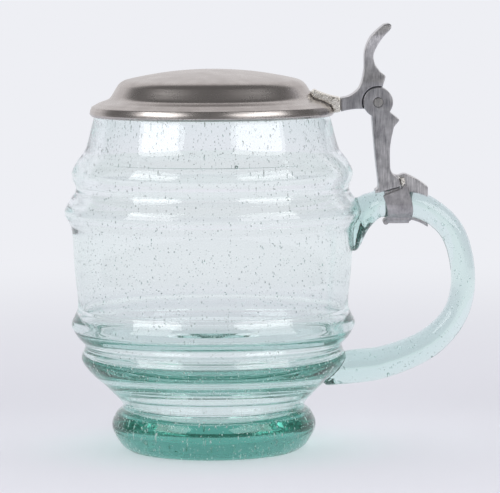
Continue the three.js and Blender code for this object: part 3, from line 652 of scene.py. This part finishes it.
def metal(name, bright, dark, roughness, marks, depth, patina_size, darker_tone=None):
    """A metal with marks of a depth, a colour for its worn and one for its dark places."""
    material, tree = empty_material(name)
    place = add(tree, "ShaderNodeTexCoord").outputs["Object"]
    patina = add(tree, "ShaderNodeTexNoise", {"Scale": 1 / patina_size, "Detail": 5.0, "Roughness": 0.6},
                 {"Vector": place})
    height = marks(tree, place)
    patina_part = add(tree, "ShaderNodeMath", {"operation": "MULTIPLY", 1: 1 - MARKS_SHARE},
                      {0: patina.outputs["Fac"]})
    worn = add(tree, "ShaderNodeMath", {"operation": "MULTIPLY_ADD", 1: MARKS_SHARE},
               {0: height, 2: patina_part.outputs["Value"]})
    share = add(tree, "ShaderNodeMapRange", {"From Min": WORN_RANGE[0], "From Max": WORN_RANGE[1]},
                {"Value": worn.outputs["Value"]}).outputs["Result"]
    colour = add(tree, "ShaderNodeMix", {"data_type": "RGBA", "A": linear(dark), "B": linear(bright)},
                 {"Factor": share}).outputs["Result"]
    if darker_tone:
        colour = darken_and_highlight(tree, place, colour, darker_tone)
    rough = add(tree, "ShaderNodeMapRange",
                {"To Min": roughness + ROUGHER_WHERE_DARK, "To Max": roughness - SMOOTHER_WHERE_BRIGHT},
                {"Value": share})
    bump = add(tree, "ShaderNodeBump", {"Strength": 1.0, "Distance": depth}, {"Height": height})
    shader = add(tree, "ShaderNodeBsdfPrincipled", {"Metallic": 1.0},
                 {"Base Color": colour, "Roughness": rough.outputs["Result"],
                  "Normal": bump.outputs["Normal"]})
    add(tree, "ShaderNodeOutputMaterial", None, {"Surface": shader.outputs["BSDF"]})
    print("material:", name)
    return material

# %% [markdown]
# Tools leave their own marks. A spinning lathe leaves fine rings: noise that only varies
# with the distance from the axis and the height, drawn a little coarser than it is so
# that it shows. A file or a brush leaves noise that is stretched along the height.

# %% Marks of the tools
RING_SPACING = 0.35 * MM
RING_CONTRAST = (0.40, 0.60)


def spun_rings(tree, place):
    centred = add(tree, "ShaderNodeMapping", {"Location": (-axis_x, 0, 0)}, {"Vector": place})
    flat = add(tree, "ShaderNodeVectorMath", {"operation": "MULTIPLY", 1: (1, 1, 0)},
               {0: centred.outputs["Vector"]})
    radius = add(tree, "ShaderNodeVectorMath", {"operation": "LENGTH"}, {0: flat.outputs["Vector"]})
    height = add(tree, "ShaderNodeSeparateXYZ", None, {"Vector": place})
    along = add(tree, "ShaderNodeMath", {"operation": "ADD"},
                {0: radius.outputs["Value"], 1: height.outputs["Z"]})
    rings = add(tree, "ShaderNodeTexNoise",
                {"noise_dimensions": "1D", "Scale": 1 / RING_SPACING, "Detail": 2.0},
                {"W": along.outputs["Value"]})
    faint = add(tree, "ShaderNodeMapRange", {"To Min": RING_CONTRAST[0], "To Max": RING_CONTRAST[1]},
                {"Value": rings.outputs["Fac"]})
    return faint.outputs["Result"]


def file_marks(width, length):
    def build(tree, place):
        stretched = add(tree, "ShaderNodeMapping", {"Scale": (1 / width, 1 / width, 1 / length)},
                        {"Vector": place})
        marks = add(tree, "ShaderNodeTexNoise", {"Scale": 1.0, "Detail": 3.0, "Roughness": 0.7},
                    {"Vector": stretched.outputs["Vector"]})
        return marks.outputs["Fac"]
    return build

# %% [markdown]
# The lid is satin and a little warm, with shallow rings. The castings are greyer, with
# deep file marks. The strap's sheet is smoother and darker. Solder set from a melt, so it
# is the brightest, and its marks are short folds. The pin is drawn wire, a browner grey.

# %% Materials: lid, castings, strap, solder and pin
lid_pewter = metal("spun pewter", bright="#cec9c6", dark="#aea7a4", roughness=0.27,
                   marks=spun_rings, depth=0.0025 * MM, patina_size=7 * MM)
cast_pewter = metal("filed cast pewter", bright="#eae8e8", dark="#8c8b8e", roughness=0.42,
                    marks=file_marks(0.42 * MM, 6 * MM), depth=0.05 * MM, patina_size=4 * MM,
                    darker_tone="#cfd0d3")
sheet_pewter = metal("rolled sheet pewter", bright="#c4c2c3", dark="#8e8c8f", roughness=0.38,
                     marks=file_marks(1.0 * MM, 2.2 * MM), depth=0.03 * MM, patina_size=5 * MM)
soft_solder = metal("soft solder", bright="#fbf7ef", dark="#cfc9be", roughness=0.18,
                    marks=file_marks(0.9 * MM, 1.2 * MM), depth=0.25 * MM, patina_size=3 * MM)
pin_metal = metal("drawn pin wire", bright="#bdbbb6", dark="#77767a", roughness=0.40,
                  marks=file_marks(0.4 * MM, 5 * MM), depth=0.05 * MM, patina_size=3 * MM)

# %% [markdown]
# ## Lid
# The lid is turned from its own profile at a finer step, so that its reflections run
# smoothly over the flange, the cove and the dome.

# %% Lid
LID_SEGMENTS = 160
LID_STEPS = 4

lid = turned("lid", smooth_chain(profile_of("lid_shell"), LID_STEPS), LID_SEGMENTS)
finish_piece(lid, "lid", "lid_pewter", lid_pewter, "lid_shell")

# %% [markdown]
# ## Castings, strap and solder
# These are the model's own shapes as worn shapes: a file takes the sharp edge off a
# casting, sheet keeps more of its edge, and solder has none to start with.

# %% Castings, strap and solder
METAL_VOXEL = 0.2 * MM

for node, name, body, slot, material, relax in (
        ("thumb_lift", "lift_casting", "lid", "cast_pewter", cast_pewter, 12),
        ("hinge_post", "post_casting", "mug", "cast_pewter", cast_pewter, 12),
        ("handle_strap", "strap_sheet", "mug", "cast_pewter", sheet_pewter, 2),
        ("lid_solder", "lid_solder_run", "lid", "solder", soft_solder, 6),
        ("strap_solder_front", "strap_solder_near", "mug", "solder", soft_solder, 3),
        ("strap_solder_back", "strap_solder_far", "mug", "solder", soft_solder, 3),
        ("hinge_pin", "pin_wire", "mug", "pin_steel", pin_metal, 3)):
    finish_piece(soft_copy(node, name, METAL_VOXEL, relax), body, slot, material, node)

# %% [markdown]
# ## Table
# A white table runs off into a bright backdrop. Near the mug it is painted, so that it
# keeps the shadow; far from it it glows, as an overlit backdrop does. Close round the
# foot, a little of the green light that the glass lets through is painted on it. Its plane
# lies a hair below the foot, because two faces in one plane flicker.

# %% Table and backdrop
TABLE_DROP = 0.15 * MM
TABLE_REACH = 24.0
GLOW_RANGE = (0.12, 0.70)
NEAR_PAINT = "#dfdfe5"
PAINTED_GREEN_LIGHT = "#dde5e8"
GREEN_LIGHT_REACH = (28 * MM, 75 * MM)
FAR_GLOW = "#eeeff4"

table = mesh_piece("table", [(x * TABLE_REACH, y * TABLE_REACH, -TABLE_DROP)
                             for x, y in ((-1, -1), (1, -1), (1, 1), (-1, 1))], [(0, 1, 2, 3)])


def table_paint():
    material, tree = empty_material("white table")
    place = add(tree, "ShaderNodeTexCoord").outputs["Object"]
    radius = add(tree, "ShaderNodeVectorMath", {"operation": "LENGTH"}, {0: place})
    away = add(tree, "ShaderNodeMapRange",
               {"interpolation_type": "SMOOTHSTEP",
                "From Min": GLOW_RANGE[0], "From Max": GLOW_RANGE[1]},
               {"Value": radius.outputs["Value"]})
    # Painted light: the green light that the glass lets through is painted round the foot.
    from_mug = add(tree, "ShaderNodeVectorMath", {"operation": "DISTANCE", 1: (axis_x, 0, 0)},
                   {0: place})
    clear = add(tree, "ShaderNodeMapRange",
                {"interpolation_type": "SMOOTHSTEP",
                 "From Min": GREEN_LIGHT_REACH[0], "From Max": GREEN_LIGHT_REACH[1]},
                {"Value": from_mug.outputs["Value"]})
    near = add(tree, "ShaderNodeMix",
               {"data_type": "RGBA", "A": linear(PAINTED_GREEN_LIGHT), "B": linear(NEAR_PAINT)},
               {"Factor": clear.outputs["Result"]})
    paint = add(tree, "ShaderNodeBsdfDiffuse", None, {"Color": near.outputs["Result"]})
    glow = add(tree, "ShaderNodeEmission", {"Color": linear(FAR_GLOW), "Strength": 1.0})
    mix = add(tree, "ShaderNodeMixShader", None,
              {"Fac": away.outputs["Result"], 1: paint.outputs["BSDF"], 2: glow.outputs["Emission"]})
    add(tree, "ShaderNodeOutputMaterial", None, {"Surface": mix.outputs["Shader"]})
    return material


table.data.materials.append(table_paint())
print(f"table {2 * TABLE_REACH:.0f} m wide, {TABLE_DROP / MM:.2f} mm below the foot")

# %% [markdown]
# ## Room
# What the mug stands in is painted by direction: a bright backdrop behind it, a dim room
# on the camera's side, and a ceiling that comes down further towards the camera and at
# both sides. The dark lens in the lid's cove is the mirrored ceiling.

# %% Walls and ceiling by direction
BACKDROP_EDGE = (-0.35, 0.1)
CEILING_EDGE = (0.50, 0.82)
CEILING_LEAN = 0.75
CEILING_SPREAD = 1.3


def walls(tree, front, behind, ceiling):
    direction = add(tree, "ShaderNodeTexCoord").outputs["Generated"]
    x, y, z = add(tree, "ShaderNodeSeparateXYZ", None, {"Vector": direction}).outputs
    back = add(tree, "ShaderNodeMapRange",
               {"interpolation_type": "SMOOTHSTEP",
                "From Min": BACKDROP_EDGE[0], "From Max": BACKDROP_EDGE[1]}, {"Value": y})
    leaning = add(tree, "ShaderNodeMath", {"operation": "MULTIPLY_ADD", 1: -CEILING_LEAN}, {0: y, 2: z})
    aside = add(tree, "ShaderNodeMath", {"operation": "MULTIPLY"}, {0: x, 1: x})
    hanging = add(tree, "ShaderNodeMath", {"operation": "MULTIPLY_ADD", 1: CEILING_SPREAD},
                  {0: aside.outputs["Value"], 2: leaning.outputs["Value"]})
    above = add(tree, "ShaderNodeMapRange",
                {"interpolation_type": "SMOOTHSTEP",
                 "From Min": CEILING_EDGE[0], "From Max": CEILING_EDGE[1]},
                {"Value": hanging.outputs["Value"]})
    level = add(tree, "ShaderNodeMix", {"data_type": "RGBA", "A": linear(front), "B": linear(behind)},
                {"Factor": back.outputs["Result"]})
    whole = add(tree, "ShaderNodeMix", {"data_type": "RGBA", "B": linear(ceiling)},
                {"Factor": above.outputs["Result"], "A": level.outputs["Result"]})
    return whole.outputs["Result"]

# %% [markdown]
# The camera itself sees the backdrop's colour everywhere. Metal mirrors the room, and
# glass shows the same room, a little greener in its dim parts. All other light from
# around is a plain fill.

# %% World
WORLD_FILL = 0.80
FILL_WHITE = "#fafafd"
MIRRORED_ROOM = ("#77777a", "#f1eff0", "#6b6a6a")
ROOM_THROUGH_GLASS = ("#7d908d", "#f3f1f9", "#8a9794")


def studio():
    world = bpy.data.worlds.new("studio")
    world.use_nodes = True
    tree = world.node_tree
    tree.nodes.clear()
    ray = add(tree, "ShaderNodeLightPath").outputs
    fill = [c * WORLD_FILL for c in linear(FILL_WHITE)]
    mirrored = add(tree, "ShaderNodeMix", {"data_type": "RGBA", "A": fill},
                   {"Factor": ray["Is Glossy Ray"], "B": walls(tree, *MIRRORED_ROOM)})
    by_glass = add(tree, "ShaderNodeMath", {"operation": "MAXIMUM"},
                   {0: ray["Is Transmission Ray"], 1: ray["Is Singular Ray"]})
    through = add(tree, "ShaderNodeMix", {"data_type": "RGBA"},
                  {"Factor": by_glass.outputs["Value"], "A": mirrored.outputs["Result"],
                   "B": walls(tree, *ROOM_THROUGH_GLASS)})
    shown = add(tree, "ShaderNodeMix", {"data_type": "RGBA", "B": linear(FAR_GLOW)},
                {"Factor": ray["Is Camera Ray"], "A": through.outputs["Result"]})
    sky = add(tree, "ShaderNodeBackground", {"Strength": 1.0}, {"Color": shown.outputs["Result"]})
    add(tree, "ShaderNodeOutputWorld", None, {"Surface": sky.outputs["Background"]})
    print("world:", world.name)
    return world


scene.world = studio()

# %% [markdown]
# ## Softboxes
# Two large softboxes stand high at the left and right of the camera. They give the glass
# its two window-like highlights and the lid's flange its two streaks.

# %% Softboxes
SOFTBOX_DISTANCE = 1.35
SOFTBOX_WATTS = 5.8
SOFTBOX_ELEVATION = 30
SOFTBOX_HEIGHT = 0.58
SOFTBOX_AIM = Vector((axis_x, 0, 0.1))


def softbox(name, azimuth, width):
    """A lamp seen from the mug at an azimuth from the camera's side, turned to face it."""
    lamp = bpy.data.lights.new(name, "AREA")
    lamp.shape = "RECTANGLE"
    lamp.size = width
    lamp.size_y = SOFTBOX_HEIGHT
    lamp.energy = SOFTBOX_WATTS
    a, e = math.radians(azimuth), math.radians(SOFTBOX_ELEVATION)
    toward = Vector((math.sin(a) * math.cos(e), -math.cos(a) * math.cos(e), math.sin(e)))
    box = bpy.data.objects.new(name, lamp)
    box.location = SOFTBOX_AIM + toward * SOFTBOX_DISTANCE
    box.rotation_euler = (-toward).to_track_quat("-Z", "Y").to_euler()
    scene.collection.objects.link(box)
    print(f"{name}: {width:.2f} x {SOFTBOX_HEIGHT:.2f} m, {SOFTBOX_WATTS} W")


softbox("softbox left", azimuth=-53, width=0.94)
softbox("softbox right", azimuth=49, width=1.14)

# %% [markdown]
# ## Render settings
# The Standard view transform shows a colour as it is written. A ray may cross six or more
# walls of glass, and be turned back inside the foot many times, before it reaches the
# backdrop. With the default of 12 bounces those rays end in black, so the path limits go
# up.

# %% View and bounces
GLASS_BOUNCES = 32
MIRROR_BOUNCES = 24
CLEAR_BOUNCES = 16

scene.view_settings.view_transform = "Standard"
scene.cycles.max_bounces = GLASS_BOUNCES
scene.cycles.glossy_bounces = MIRROR_BOUNCES
scene.cycles.transmission_bounces = GLASS_BOUNCES
scene.cycles.transparent_max_bounces = CLEAR_BOUNCES
